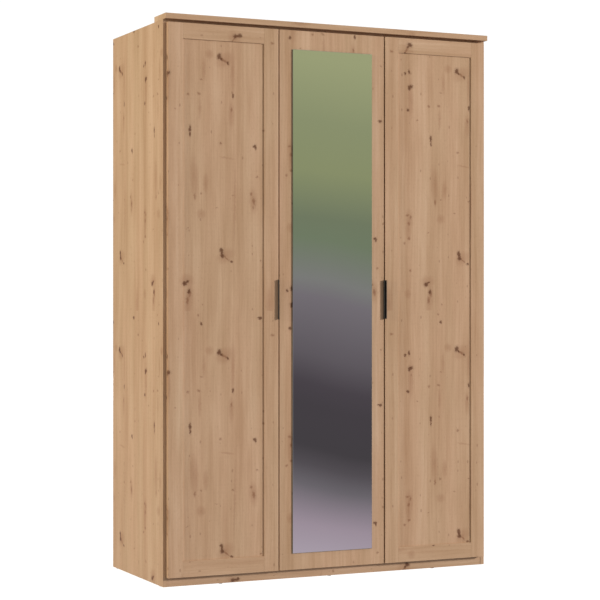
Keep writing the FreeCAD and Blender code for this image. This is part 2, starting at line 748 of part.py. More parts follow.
def hanging_rail():
    """The oval rail under the hat shelf and its two end sockets."""
    plate = SOCKET_PLATE
    collar = SOCKET_COLLAR
    round_rail = 2 * RAIL_PLAY
    over_rail = 2 * SOCKET_WALL
    tall = at("rail_tall")
    wide = at("rail_wide")
    middle = Vector(0, at("shelf_middle"), at("rail_middle"))
    west = at("partition_east")
    east = at("inner_east")
    start = west + plate + RAIL_PLAY
    long = east - west - 2 * plate - 2 * RAIL_PLAY
    wall = at("rail_wall")
    outside = oval(middle, wide, tall, start, long)
    inside = oval(middle, wide - 2 * wall, tall - 2 * wall, start, long)
    node(feature("hanging_rail", outside.cut(inside)), "hanging_rail")
    sockets = []
    screws = []
    for name, face, inward in (("partition_panel", west, EAST), ("side_panel_right", east, WEST)):
        plate_from = face if inward.x > 0 else face - plate
        collar_from = face if inward.x > 0 else face - collar
        socket = oval(middle, SOCKET_WIDE, SOCKET_TALL, plate_from, plate)
        ring = oval(middle, wide + over_rail, tall + over_rail, collar_from, collar)
        socket = socket.fuse(ring).removeSplitter()
        hollow_from = face + plate if inward.x > 0 else face - collar
        hollow = oval(middle, wide + round_rail, tall + round_rail, hollow_from, collar - plate)
        socket = socket.cut(hollow)
        for side in (-SOCKET_SCREW, SOCKET_SCREW):
            point = Vector(face, middle.y, middle.z + side) + inward * plate
            socket = socket.cut(driven(point, inward, SCREW_PLAY))
            screws.append(driven(point, inward))
            bores[name].append(driven(point, inward, SCREW_PLAY))
        sockets.append(socket)
    group("rail_sockets", sockets)
    return screws


BRACKET_METAL = 2
BRACKET_WIDE = 24
BRACKET_DEEP = 34
BRACKET_ALONG = 0.7
BRACKET_HOLE = 0.6
WALL_HOLE = 2.5


def wall_brackets():
    """Two angle brackets on the top panel that keep the wardrobe from tipping."""
    metal = BRACKET_METAL
    wide = BRACKET_WIDE
    deep = BRACKET_DEEP
    tall = at("cornice_thick")
    brackets = []
    screws = []
    for across in (at("west_face") * BRACKET_ALONG, at("east_face") * BRACKET_ALONG):
        corner = Vector(across - wide / 2, at("rear") - deep, at("side_top"))
        flat = Part.makeBox(wide, deep, metal, corner)
        upright = Part.makeBox(wide, metal, tall, corner + BACKWARD * (deep - metal))
        hole_at = Vector(across, at("rear") - metal, at("side_top") + tall * BRACKET_HOLE)
        hole = Part.makeCylinder(WALL_HOLE, metal, hole_at, BACKWARD)
        head = Vector(across, at("rear") - deep * BRACKET_HOLE, at("side_top") + metal)
        bracket = flat.fuse(upright).cut(hole).cut(driven(head, UP, SCREW_PLAY)).removeSplitter()
        brackets.append(bracket)
        screws.append(driven(head, UP))
        bores["top_panel"].append(driven(head, UP, SCREW_PLAY))
    group("wall_brackets", brackets)
    return screws


GLIDE_IN = 40
GLIDE_SPREAD = 0.33


def floor_glides():
    """Round glides under the side panels and the plinths."""
    spots = []
    for side in ("west_face + board / 2", "east_face - board / 2"):
        for depth in (at("front") + GLIDE_IN, at("rear") - GLIDE_IN):
            spots.append((at(side), depth))
    for across in (-GLIDE_SPREAD, 0, GLIDE_SPREAD):
        for depth in ("front + plinth_setback + board / 2", "rear - rear_plinth_inset - board / 2"):
            spots.append((across * at("carcass_width"), at(depth)))
    radius = at("glide_radius")
    group("floor_glides", [Part.makeCylinder(radius, at("glide"), Vector(x, y, 0)) for x, y in spots])


BUFFER_RADIUS = 3.5
BUFFER_IN = 40
BUFFER_GAP = 0.4


def door_buffers():
    """Soft buffers on the front edges of the top and bottom panels, near each door's free edge."""
    seam = "west_face + door_margin + {} * (door_wide + door_gap)"
    places = (
        at(seam.format(1)) - BUFFER_IN,
        at(seam.format(2)) - BUFFER_IN,
        at(seam.format(2)) + BUFFER_IN,
    )
    thick = at("front_gap") - BUFFER_GAP
    buffers = []
    for across in places:
        for height in (at("plinth_top + board / 2"), at("top_low + board / 4")):
            start = Vector(across, at("front"), height)
            buffers.append(Part.makeCylinder(BUFFER_RADIUS, thick, start, FORWARD))
    group("door_buffers", buffers)


BACK_INSET = 2
NAIL_SHARES = (0.2, 0.5, 0.8)
PROFILE_WEB = 1.5
PROFILE_HALF = 8
PROFILE_SHORT = 1
NAILS_UP = 8
NAIL_FIRST = 60
NAIL_PITCH = 271
NAIL_RADIUS = 0.8
NAIL_LONG = 20
NAIL_HEAD = 2
NAIL_HEAD_TALL = 0.8


def back():
    """Three hardboard sheets nailed to the rear edges, and the profile that joins two of them."""
    low = f"plinth_top + {BACK_INSET}"
    tall = f"side_top - plinth_top - 2 * {BACK_INSET}"
    web = PROFILE_WEB
    sheets = {
        "back_sheet_left": (f"west_face + {BACK_INSET}", f"partition_middle - {web / 2}"),
        "back_sheet_middle": (f"partition_middle + {web / 2}", f"back_seam - {web / 2}"),
        "back_sheet_right": (f"back_seam + {web / 2}", f"east_face - {BACK_INSET}"),
    }
    nails = nail_rows()
    for name, (start, end) in sheets.items():
        board(name, (start, "rear", low), (f"{end} - ({start})", "back_sheet", tall))
    group("back_sheet_nails", nails)
    joint_profile(f"bottom_top + {PROFILE_SHORT}", f"top_low - bottom_top - 2 * {PROFILE_SHORT}", web)


def nail_rows():
    """Nails through the sheets into the rear edges of the carcass."""
    sheet_edges = {
        "back_sheet_left": (at("west_face + board / 2"), at("partition_middle - board / 4")),
        "back_sheet_middle": (at("partition_middle + board / 4"),),
        "back_sheet_right": (at("east_face - board / 2"),),
    }
    owners = {
        "back_sheet_left": ("side_panel_left", "partition_panel"),
        "back_sheet_middle": ("partition_panel",),
        "back_sheet_right": ("side_panel_right",),
    }
    surface = at("rear + back_sheet")
    nails = []
    for name, places in sheet_edges.items():
        for place, owner in zip(places, owners[name]):
            for count in range(NAILS_UP):
                height = at("plinth_top") + NAIL_FIRST + count * NAIL_PITCH
                nails.append(nail(name, owner, Vector(place, surface, height)))
    for name, start, end in (
        ("back_sheet_left", "inner_west", "partition_west"),
        ("back_sheet_middle", "partition_east", "back_seam"),
        ("back_sheet_right", "back_seam", "inner_east"),
    ):
        for share in NAIL_SHARES:
            across = at(start) + share * (at(end) - at(start))
            low = Vector(across, surface, at("plinth_top + board / 2"))
            high = Vector(across, surface, at("top_low + board / 2"))
            nails.append(nail(name, "bottom_panel", low))
            nails.append(nail(name, "top_panel", high))
    return nails


def nail(sheet_name, owner, point):
    """One nail with a flat head let in flush with the back sheet."""
    for name in (sheet_name, owner):
        bore(name, point, FORWARD, NAIL_RADIUS + PIN_PLAY, NAIL_LONG + BORE_SPARE)
    bore(sheet_name, point, FORWARD, NAIL_HEAD + PIN_PLAY, NAIL_HEAD_TALL)
    body = Part.makeCylinder(NAIL_RADIUS, NAIL_LONG, point, FORWARD)
    return body.fuse(Part.makeCylinder(NAIL_HEAD, NAIL_HEAD_TALL, point, FORWARD))


def joint_profile(low, tall, web):
    """A plastic profile of H section between the middle and right back sheets, extruded from a sketch."""
    body = doc.addObject("PartDesign::Body", "back_joint_profile")
    sketch = body.newObject("Sketcher::SketchObject", "back_joint_section")
    plane = next(item for item in body.Origin.OriginFeatures if item.Role == "XY_Plane")
    sketch.AttachmentSupport = [(plane, "")]
    sketch.MapMode = "FlatFace"
    half_flange = PROFILE_HALF
    half_web = web / 2
    near = "rear - profile_skin"
    far = "rear + back_sheet + profile_skin"
    steps = (
        (-half_flange, near),
        (half_flange, near),
        (half_flange, "rear"),
        (half_web, "rear"),
        (half_web, "rear + back_sheet"),
        (half_flange, "rear + back_sheet"),
        (half_flange, far),
        (-half_flange, far),
        (-half_flange, "rear + back_sheet"),
        (-half_web, "rear + back_sheet"),
        (-half_web, "rear"),
        (-half_flange, "rear"),
    )
    corners = [Vector(at("back_seam") + across, at(depth), 0) for across, depth in steps]
    for index, corner in enumerate(corners):
        sketch.addGeometry(Part.LineSegment(corner, corners[(index + 1) % len(corners)]))
    for index in range(len(corners)):
        sketch.addConstraint(Sketcher.Constraint("Coincident", index, 2, (index + 1) % len(corners), 1))
    for index, (across, depth) in enumerate(steps):
        for axis, name, text in (
            ("DistanceX", f"across_{index}", f"back_seam + {across}"),
            ("DistanceY", f"depth_{index}", depth),
        ):
            count = sketch.addConstraint(Sketcher.Constraint(axis, -1, 1, index, 1, at(text)))
            sketch.renameConstraint(count, name)
            sketch.setExpression("Constraints." + name, expression(text))
    pad = body.newObject("PartDesign::Pad", "back_joint_length")
    pad.Profile = sketch
    pad.setExpression("Length", expression(tall))
    body.Tip = pad
    body.setExpression("Placement.Base.z", expression(low))
    node(body, "back_joint_profile")


# ---------------------------------------------------------------------------- carcass boards
def carcass_boards():
    """The boards, made after every joint and fitting has asked for its bores."""
    upright = ("board", "carcass_depth", "side_top - glide")
    board("side_panel_left", ("west_face", "front", "glide"), upright)
    board("side_panel_right", ("inner_east", "front", "glide"), upright)
    board(
        "partition_panel",
        ("partition_west", "front", "bottom_top"),
        ("board", "carcass_depth", "top_low - bottom_top"),
    )
    across = ("carcass_width - 2 * board", "carcass_depth", "board")
    board("top_panel", ("inner_west", "front", "top_low"), across)
    board("bottom_panel", ("inner_west", "front", "plinth_top"), across)
    plinth = ("carcass_width - 2 * board", "board", "plinth_top - glide")
    board("plinth_front", ("inner_west", "front + plinth_setback", "glide"), plinth)
    board("plinth_rear", ("inner_west", "rear - rear_plinth_inset - board", "glide"), plinth)
    board(
        "cornice",
        ("west_face", "front - cornice_reach", "side_top"),
        ("carcass_width", "cornice_depth", "cornice_thick"),
    )
    board(
        "hat_shelf",
        ("partition_east", "shelf_front", "hat_shelf_low"),
        ("inner_east - partition_east", "shelf_deep", "board"),
    )
    loose = ("partition_west - inner_west - 2 * shelf_slack", "shelf_deep", "board")
    for count in range(1, SHELVES + 1):
        low = f"bottom_top + {count} * shelf_pitch - board"
        board(f"shelf_{count}", ("inner_west + shelf_slack", "shelf_front", low), loose)


# ---------------------------------------------------------------------------- the whole wardrobe
def wardrobe():
    """Joints, doors and fittings first, because they say where the boards are bored."""
    carcass_joints()
    doors()
    shelf_fittings()
    screws = hanging_rail() + wall_brackets()
    group("carcass_screws", screws)
    floor_glides()
    door_buffers()
    back()
    carcass_boards()
    group("cam_locks", cam_locks)
    group("cam_bolts", cam_bolts)
    group("dowels", dowels)
    group("hinge_plates", hinge_plates)
    group("hinge_arms", hinge_arms)
    group("plate_screws", plate_screws)


def check_and_export():
    """Stop on any failed object; otherwise write one file for each sub-part."""
    doc.recompute()
    for item in doc.Objects:
        if "Invalid" in item.State or "Error" in item.State:
            raise RuntimeError(f"{item.Name} failed: {item.State}")
    os.makedirs("parts", exist_ok=True)
    for item in nodes:
        if item.Shape.isNull() or not item.Shape.isValid() or not item.Shape.Solids:
            raise RuntimeError(f"{item.Label} has no valid solid")
    for item in nodes:
        item.Shape.exportStep(f"parts/{item.Label}.step")
    print(len(nodes), "sub-parts written")


wardrobe()
check_and_export()
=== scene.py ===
import json
import math

import bmesh
import bpy
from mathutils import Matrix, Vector

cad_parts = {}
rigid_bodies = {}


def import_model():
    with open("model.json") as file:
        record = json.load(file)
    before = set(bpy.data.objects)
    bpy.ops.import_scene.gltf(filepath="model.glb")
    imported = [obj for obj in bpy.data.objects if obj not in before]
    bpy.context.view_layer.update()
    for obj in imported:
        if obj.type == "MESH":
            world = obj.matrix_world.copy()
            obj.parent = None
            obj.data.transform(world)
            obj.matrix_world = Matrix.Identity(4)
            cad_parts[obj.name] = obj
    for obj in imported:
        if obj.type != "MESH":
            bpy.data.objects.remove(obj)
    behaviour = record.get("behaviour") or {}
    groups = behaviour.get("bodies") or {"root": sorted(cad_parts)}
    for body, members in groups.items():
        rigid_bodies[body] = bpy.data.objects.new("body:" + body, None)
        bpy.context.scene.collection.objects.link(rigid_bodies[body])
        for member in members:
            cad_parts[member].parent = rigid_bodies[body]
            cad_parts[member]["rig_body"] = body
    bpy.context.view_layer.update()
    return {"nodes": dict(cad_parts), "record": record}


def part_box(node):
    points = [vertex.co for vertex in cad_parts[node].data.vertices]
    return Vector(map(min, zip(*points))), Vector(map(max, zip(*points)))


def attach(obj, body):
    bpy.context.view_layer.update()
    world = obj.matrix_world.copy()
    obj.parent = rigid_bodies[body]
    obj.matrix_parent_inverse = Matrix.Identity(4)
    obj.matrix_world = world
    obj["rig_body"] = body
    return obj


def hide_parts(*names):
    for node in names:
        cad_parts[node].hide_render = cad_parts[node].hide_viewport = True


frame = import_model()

cad = frame["nodes"]
slot_of = {entry["node"]: entry["material_slot"] for entry in frame["record"]["subparts"]}

MM = 0.001
UP = (0.0, 0.0, 1.0)
RIGHT = (1.0, 0.0, 0.0)
WHITE = (1.0, 1.0, 1.0, 1.0)


# ---------------------------------------------------------------- node helpers
def add(tree, kind, inputs=None, **settings):
    """One new node: settings are its own properties, inputs are values or linked sockets."""
    made = tree.nodes.new(kind)
    for name, value in settings.items():
        setattr(made, name, value)
    for key, value in (inputs or {}).items():
        if isinstance(value, bpy.types.NodeSocket):
            tree.links.new(value, made.inputs[key])
        else:
            made.inputs[key].default_value = value
    return made


def maths(tree, operation, *values):
    return add(tree, "ShaderNodeMath", dict(enumerate(values)), operation=operation).outputs[0]


def centred(tree, value, width):
    """A value of 0 to 1 spread evenly about zero, over width."""
    return maths(tree, "MULTIPLY_ADD", value, width, -width / 2)


def dot(tree, vector, direction):
    made = add(tree, "ShaderNodeVectorMath", {0: vector, 1: direction}, operation="DOT_PRODUCT")
    return made.outputs["Value"]


def stretched(tree, vector, factors):
    made = add(tree, "ShaderNodeVectorMath", {0: vector, 1: factors}, operation="MULTIPLY")
    return made.outputs["Vector"]


def flat_vector(tree, across, along):
    return add(tree, "ShaderNodeCombineXYZ", {"X": across, "Y": along}).outputs["Vector"]


def noise(tree, vector, scale=1.0, detail=2.0, rough=0.5, flat=False, output="Fac"):
    made = add(
        tree,
        "ShaderNodeTexNoise",
        {"Vector": vector, "Scale": scale, "Detail": detail, "Roughness": rough},
        noise_dimensions="2D" if flat else "3D",
    )
    return made.outputs[output]


def remap(tree, value, low, high, to_low=0.0, to_high=1.0):
    made = add(
        tree,
        "ShaderNodeMapRange",
        {"Value": value, "From Min": low, "From Max": high, "To Min": to_low, "To Max": to_high},
    )
    return made.outputs["Result"]


NOISE_LOW = 0.3
NOISE_HIGH = 0.7


def varied(tree, value, low, high):
    """Noise, which seldom leaves its middle range, made to run from low to high."""
    return remap(tree, value, NOISE_LOW, NOISE_HIGH, low, high)


# Where a Mix node that mixes colours has its factor, its two colours and its result.
MIX_FACTOR = 0
MIX_FIRST = 6
MIX_SECOND = 7
MIX_RESULT = 2


def blend(tree, factor, first, second, mode="MIX"):
    inputs = {MIX_FACTOR: factor, MIX_FIRST: first, MIX_SECOND: second}
    return add(tree, "ShaderNodeMix", inputs, data_type="RGBA", blend_type=mode).outputs[MIX_RESULT]


def ramp(tree, value, stops, smooth=True):
    """stops are (position, colour or grey) pairs."""
    made = add(tree, "ShaderNodeValToRGB", {"Fac": value})
    band = made.color_ramp
    band.interpolation = "EASE" if smooth else "LINEAR"
    while len(band.elements) < len(stops):
        band.elements.new(1.0)
    for element, (position, colour) in zip(band.elements, stops):
        element.position = position
        grey = isinstance(colour, (int, float))
        element.color = (colour, colour, colour, 1.0) if grey else colour
    return made.outputs["Color"]


def linear(channel):
    """One channel as it is seen, 0 to 1, as the linear value that a shader needs."""
    return channel / 12.92 if channel <= 0.04045 else ((channel + 0.055) / 1.055) ** 2.4


def srgb(red, green, blue):
    """The shader's colour for one given as it is seen, 0 to 255 for each channel."""
    return tuple(linear(channel / 255) for channel in (red, green, blue)) + (1.0,)


def scaled(colour, factor):
    return tuple(channel * factor for channel in colour[:3]) + (1.0,)


def material(name, **uniform):
    """A new material with one Principled shader; uniform holds values that are the same all over."""
    made = bpy.data.materials.new(name)
    made.use_nodes = True
    tree = made.node_tree
    shader = tree.nodes["Principled BSDF"]
    for key, value in uniform.items():
        shader.inputs[key.replace("_", " ")].default_value = value
    return made, tree, shader


def place(tree):
    return add(tree, "ShaderNodeTexCoord").outputs["Object"]


def bumped(tree, shader, height, strength, depth):
    made = add(tree, "ShaderNodeBump", {"Height": height, "Strength": strength, "Distance": depth})
    tree.links.new(made.outputs["Normal"], shader.inputs["Normal"])


# ---------------------------------------------------------------- oak decor
# The boards carry one printed oak sheet, whose knots come again after a repeat in each direction.
REPEAT_ACROSS = 0.5015
REPEAT_ALONG = 1.0865
# Each repeat starts at its seam.
SEAM_ACROSS = 0.470
SEAM_ALONG = 1.003

# Each mark: across, along, half width, half length, tilt in degrees. Millimetres in the sheet.
DARK_KNOTS = (
    (238, 852, 8, 11, -20), (246, 843, 4, 7, 40), (272, 829, 4, 7, 30),
    (34, 781, 11, 7, 0), (28, 775, 5, 8, 0), (27, 838, 5, 9, 0), (10, 831, 5, 5, 0),
    (22, 690, 6, 6, 0), (123, 582, 5, 12, 0), (124, 562, 3, 8, 0),
    (293, 709, 4, 9, 0), (168, 957, 4, 6, 20), (403, 976, 7, 6, 0), (396, 979, 7, 2, 15),
    (380, 527, 7, 5, 10), (384, 521, 4, 7, 0), (102, 17, 9, 8, 0), (112, 24, 8, 4, 25),
    (247, 140, 7, 8, 0), (249, 130, 5, 12, -8), (251, 120, 8, 8, 0),
    (288, 98, 6, 4, 0), (119, -12, 5, 9, -15),
)
FAINT_KNOTS = (
    (158, 712, 7, 4, -15), (115, 708, 5, 5, 0), (155, 988, 4, 4, 0), (142, 335, 4, 11, 0),
    (168, 347, 4, 3, 0), (450, 912, 7, 5, 0), (243, 533, 5, 5, 0), (390, 413, 5, 4, 0),
    (367, 350, 5, 5, 0), (377, 322, 6, 14, 8), (27, 194, 6, 5, 0), (8, 176, 5, 5, 30),
    (112, 218, 6, 1.5, 25), (405, 102, 4, 4, 0), (33, 70, 5, 5, 0), (26, 252, 6, 8, 0),
    (20, 284, 8, 4, 0), (33, 276, 4, 8, 0), (293, 343, 5, 3, 0), (228, 295, 5, 2, 0),
    (415, 585, 5, 4, 0), (64, 652, 4, 2, 0), (113, 1042, 5, 13, 0), (124, 1066, 5, 12, -10),
    (168, 763, 5, 2, -20), (287, 658, 4, 8, 0), (172, 1027, 3, 3, 0),
    (257, 838, 4, 13, 52), (268, 110, 2.5, 13, 50),
)
SOFT_SHADES = (
    (34, 735, 10, 60, 0), (28, 262, 14, 38, 0), (140, 405, 14, 60, 3), (185, 385, 9, 30, 0),
    (167, 272, 15, 15, 0), (440, 1030, 14, 50, 0), (200, 858, 14, 14, 0), (300, 300, 3.5, 130, -1),
    (286, 640, 9, 40, 0), (118, 1045, 13, 50, -6), (110, 28, 24, 20, 0), (262, 840, 34, 22, 25),
    (375, 325, 14, 38, 5), (265, 120, 30, 20, 30), (25, 230, 11, 36, 0), (292, 800, 7, 70, 0),
    (22, 1066, 12, 16, 0), (270, 480, 26, 3, -8), (178, 800, 6, 35, 0), (162, 660, 5, 35, 0),
)
# How near two marks come before they run together, in outlines.
MARKS_JOIN = 0.35

# Each sort of mark: its entries, where the outline falls in the profile, the profile as
# (place from the centre outwards, strength) pairs, and the colour.
MARK_SORTS = (
    (SOFT_SHADES, 0.5, ((0.0, 0.34), (0.30, 0.22), (0.8, 0.0)), srgb(140, 90, 60)),
    (FAINT_KNOTS, 0.33, ((0.0, 0.55), (0.24, 0.40), (0.38, 0.08), (0.60, 0.0)), srgb(112, 62, 34)),
    (DARK_KNOTS, 0.33, ((0.0, 0.85), (0.24, 0.70), (0.37, 0.16), (0.60, 0.0)), srgb(80, 36, 14)),
)

# Broad tones over one repeat: share of the repeat across the grain, and lightness.
BROAD_TONES = (
    (0.00, 0.78), (0.05, 0.55), (0.105, 0.22), (0.15, 0.62), (0.20, 0.95), (0.25, 0.96),
    (0.30, 0.50), (0.38, 0.58), (0.44, 0.52), (0.53, 0.76), (0.60, 0.48), (0.65, 0.62),
    (0.70, 0.30), (0.75, 0.82), (0.83, 0.88), (0.88, 0.52), (0.93, 0.60), (0.97, 0.30),
    (1.00, 0.70),
)
# The wood's colour from dark to light.
WOOD_COLOURS = (
    (0.0, srgb(150, 112, 80)), (0.35, srgb(178, 141, 109)),
    (0.65, srgb(193, 157, 126)), (1.0, srgb(208, 175, 145)),
)
PINKER = (1.010, 0.994, 0.994, 1.0)
YELLOWER = (0.992, 1.004, 0.996, 1.0)
# The noise at which the wood is pinkest, and at which it is yellowest.
PINKEST_AT = 0.35
YELLOWEST_AT = 0.65

# How much each kind of grain counts in the wood's lightness, over the least that it has.
LEAST_LIGHTNESS = 0.16
TONE_SHARE = 0.34
PATCH_SHARE = 0.46
STREAK_SHARE = 0.50
FINE_SHARE = 0.16

# How often each kind of grain changes in a metre, across and along.
SWAY_RATE = (9.0, 2.2)
PATCH_RATE = (16.0, 2.6)
HUE_RATE = (11.0, 1.3)
STREAK_RATE = (110.0, 3.0)
FINE_RATE = (900.0, 16.0)
PORE_RATE = (1500.0, 70.0)
SPECK_RATE = (24.0, 13.0)
RAGGED_RATE = 130.0

# How far the growth lines sway and the outlines of marks are torn, in metres.
SWAY = 0.016
RAGGED = 0.013

# Specks are at most this large, and fade over this distance, in speck cells.
SPECK_LARGEST = 0.10
SPECK_FADE = 0.035
SPECK_STRENGTH = 0.32
SPECK_COLOUR = srgb(106, 62, 36)

# The noise at which a pore starts, and at which it is fully open.
PORE_STARTS_AT = 0.60
PORE_OPEN_AT = 0.72
PORE_STRENGTH = 0.16
PORE_COLOUR = srgb(110, 76, 50)


def grain(tree, sheet_place, rate, detail=2.0, rough=0.5):
    """Noise drawn out along the grain; rate is how often it changes in a metre, across and along."""
    return noise(tree, stretched(tree, sheet_place, rate + (1.0,)), detail=detail, rough=rough, flat=True)


def marks(tree, vector, entries):
    """Distance to the nearest mark, 1 on its outline."""
    nearest = None
    for across, along, half_width, half_length, tilt in entries:
        centre = (
            (across * MM - SEAM_ACROSS) % REPEAT_ACROSS,
            (along * MM - SEAM_ALONG) % REPEAT_ALONG,
            0.0,
        )
        local = add(
            tree,
            "ShaderNodeMapping",
            {
                "Vector": vector,
                "Location": centre,
                "Rotation": (0.0, 0.0, math.radians(tilt)),
                "Scale": (half_width * MM, half_length * MM, 1.0),
            },
            vector_type="TEXTURE",
        )
        length = add(tree, "ShaderNodeVectorMath", {0: local.outputs["Vector"]}, operation="LENGTH")
        distance = length.outputs["Value"]
        if nearest is None:
            nearest = distance
        else:
            nearest = maths(tree, "SMOOTH_MIN", nearest, distance, MARKS_JOIN)
    return nearest


def plain_wood(tree, free, swayed, inside_swayed):
    """The wood's colour before any mark is on it."""
    tone = ramp(tree, maths(tree, "DIVIDE", inside_swayed, REPEAT_ACROSS), BROAD_TONES)
    patch = grain(tree, free, PATCH_RATE, detail=3.0, rough=0.55)
    streak = grain(tree, swayed, STREAK_RATE, detail=4.0, rough=0.6)
    fine = grain(tree, swayed, FINE_RATE)
    lightness = maths(tree, "MULTIPLY_ADD", tone, TONE_SHARE, LEAST_LIGHTNESS)
    lightness = maths(tree, "MULTIPLY_ADD", patch, PATCH_SHARE, lightness)
    lightness = maths(tree, "ADD", lightness, centred(tree, streak, STREAK_SHARE))
    lightness = maths(tree, "ADD", lightness, centred(tree, fine, FINE_SHARE))
    wood = ramp(tree, lightness, WOOD_COLOURS, smooth=False)
    hue = remap(tree, grain(tree, free, HUE_RATE), PINKEST_AT, YELLOWEST_AT)
    return blend(tree, 1.0, wood, blend(tree, hue, PINKER, YELLOWER), mode="MULTIPLY")


def specked(tree, wood, free):
    """Specks between the knots: a few of the cells get one, of a size of its own."""
    cells = add(
        tree,
        "ShaderNodeTexVoronoi",
        {"Vector": stretched(tree, free, SPECK_RATE + (1.0,)), "Scale": 1.0, "Randomness": 1.0},
        voronoi_dimensions="2D",
    )
    drawn = add(tree, "ShaderNodeSeparateColor", {"Color": cells.outputs["Color"]})
    size = maths(tree, "POWER", drawn.outputs["Red"], 3.0)
    size = maths(tree, "MULTIPLY", size, SPECK_LARGEST)
    within = maths(tree, "SUBTRACT", size, cells.outputs["Distance"])
    return blend(tree, remap(tree, within, 0.0, SPECK_FADE, 0.0, SPECK_STRENGTH), wood, SPECK_COLOUR)


def decor_group():
    """The printed oak sheet: takes metres across and along the grain, gives its colour and pores."""
    tree = bpy.data.node_groups.new("oak_sheet", "ShaderNodeTree")
    tree.interface.new_socket("Across", in_out="INPUT", socket_type="NodeSocketFloat")
    tree.interface.new_socket("Along", in_out="INPUT", socket_type="NodeSocketFloat")
    tree.interface.new_socket("Colour", in_out="OUTPUT", socket_type="NodeSocketColor")
    tree.interface.new_socket("Pores", in_out="OUTPUT", socket_type="NodeSocketFloat")
    entry = tree.nodes.new("NodeGroupInput")
    across, along = entry.outputs["Across"], entry.outputs["Along"]

    # the place on the sheet, and the same with the sway of the growth lines
    free = flat_vector(tree, across, along)
    sway = centred(tree, grain(tree, free, SWAY_RATE), SWAY)
    swayed = flat_vector(tree, maths(tree, "ADD", across, sway), along)

    # the place inside one repeat, and the same with torn outlines
    inside_across = maths(tree, "WRAP", maths(tree, "SUBTRACT", across, SEAM_ACROSS), REPEAT_ACROSS, 0.0)
    inside_along = maths(tree, "WRAP", maths(tree, "SUBTRACT", along, SEAM_ALONG), REPEAT_ALONG, 0.0)
    inside = flat_vector(tree, inside_across, inside_along)
    ragged = noise(tree, free, RAGGED_RATE, detail=4.0, rough=0.7, flat=True, output="Color")
    tear = add(
        tree,
        "ShaderNodeVectorMath",
        {0: ragged, 1: (RAGGED, RAGGED, 0.0), 2: (-RAGGED / 2, -RAGGED / 2, 0.0)},
        operation="MULTIPLY_ADD",
    ).outputs["Vector"]
    torn = add(tree, "ShaderNodeVectorMath", {0: inside, 1: tear}, operation="ADD").outputs["Vector"]

    wood = plain_wood(tree, free, swayed, maths(tree, "ADD", inside_across, sway))
    for entries, outline, profile, colour in MARK_SORTS:
        distance = maths(tree, "MULTIPLY", marks(tree, torn, entries), outline)
        wood = blend(tree, ramp(tree, distance, profile), wood, colour)
    wood = specked(tree, wood, free)

    # open pores, short dark dashes along the grain
    pore = remap(tree, grain(tree, swayed, PORE_RATE, detail=1.0), PORE_STARTS_AT, PORE_OPEN_AT)
    wood = blend(tree, maths(tree, "MULTIPLY", pore, PORE_STRENGTH), wood, PORE_COLOUR)

    leave = tree.nodes.new("NodeGroupOutput")
    tree.links.new(wood, leave.inputs["Colour"])
    tree.links.new(pore, leave.inputs["Pores"])
    return tree


oak_sheet = decor_group()
FOIL_ROUGHNESS = 0.50
PORES_ROUGHER = 0.15


def oak(name, across, along, shift, strip=None):
    """Oak decor foil. across and along are directions in the model, shift moves the sheet on the board.

    strip is where a second strip of foil starts, measured to the right, and how far up it is moved.
    """
    made, tree, shader = material(name, Specular_IOR_Level=0.25)
    here = place(tree)
    sheet = add(tree, "ShaderNodeGroup", node_tree=oak_sheet)
    for key, direction, offset in (("Across", across, shift[0]), ("Along", along, shift[1])):
        moved = maths(tree, "ADD", dot(tree, here, direction), offset)
        if strip and key == "Along":
            beyond = maths(tree, "GREATER_THAN", dot(tree, here, RIGHT), strip[0])
            moved = maths(tree, "MULTIPLY_ADD", beyond, -strip[1], moved)
        tree.links.new(moved, sheet.inputs[key])
    tree.links.new(sheet.outputs["Colour"], shader.inputs["Base Color"])
    pores = sheet.outputs["Pores"]
    roughness = maths(tree, "MULTIPLY_ADD", pores, PORES_ROUGHER, FOIL_ROUGHNESS)
    tree.links.new(roughness, shader.inputs["Roughness"])
    bumped(tree, shader, maths(tree, "MULTIPLY", pores, -1.0), strength=0.35, depth=0.0002)
    return made


# Across the grain the sheet runs on round a board's corner, so depth counts as well as width or height.
OVER_WIDTH = (1.0, -1.0, 0.0)
OVER_HEIGHT = (0.0, -1.0, -1.0)
OVER_DEPTH = (0.0, 1.0, 1.0)

# Places on the sheet. Across the grain: what lies in the middle of the wardrobe's front, and halfway
# from front to back on its sides. Along the grain: what lies at floor level on upright boards, and in
# the middle of crosswise ones.
DOORS_MIDDLE = 0.700
SIDES_MIDDLE = 0.451
UPRIGHT_FOOT = -0.002
MIDDLE_DOOR_FOOT = -0.250
CROSSWISE_MIDDLE = 0.520
# On the middle door a second strip of foil starts here, right of the mirror, and is moved up.
STRIP_START = 0.1665
STRIP_RAISED = 0.503

FRAMED_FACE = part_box("door_1_stile_left")[0].y
FIELD_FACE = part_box("door_1_panel")[0].y
PLAIN_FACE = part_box("door_2_leaf")[0].y
SIDE_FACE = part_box("side_panel_left")[0].x

fronts = oak("oak_fronts", OVER_WIDTH, UP, (DOORS_MIDDLE + FRAMED_FACE, UPRIGHT_FOOT))
fields = oak("oak_fields", OVER_WIDTH, UP, (DOORS_MIDDLE + FIELD_FACE, UPRIGHT_FOOT))
middle_front = oak(
    "oak_middle_front",
    OVER_WIDTH,
    UP,
    (DOORS_MIDDLE + PLAIN_FACE, MIDDLE_DOOR_FOOT),
    strip=(STRIP_START, STRIP_RAISED),
)
sides = oak("oak_sides", OVER_WIDTH, UP, (SIDES_MIDDLE - SIDE_FACE, UPRIGHT_FOOT))
rails = oak("oak_rails", OVER_HEIGHT, RIGHT, (-0.024, CROSSWISE_MIDDLE))
rim = oak("oak_rim", OVER_HEIGHT, RIGHT, (-0.032, CROSSWISE_MIDDLE))
foot = oak("oak_foot", OVER_HEIGHT, RIGHT, (-0.004, CROSSWISE_MIDDLE))
inner = oak("oak_inner", OVER_WIDTH, UP, (0.23, 0.41))
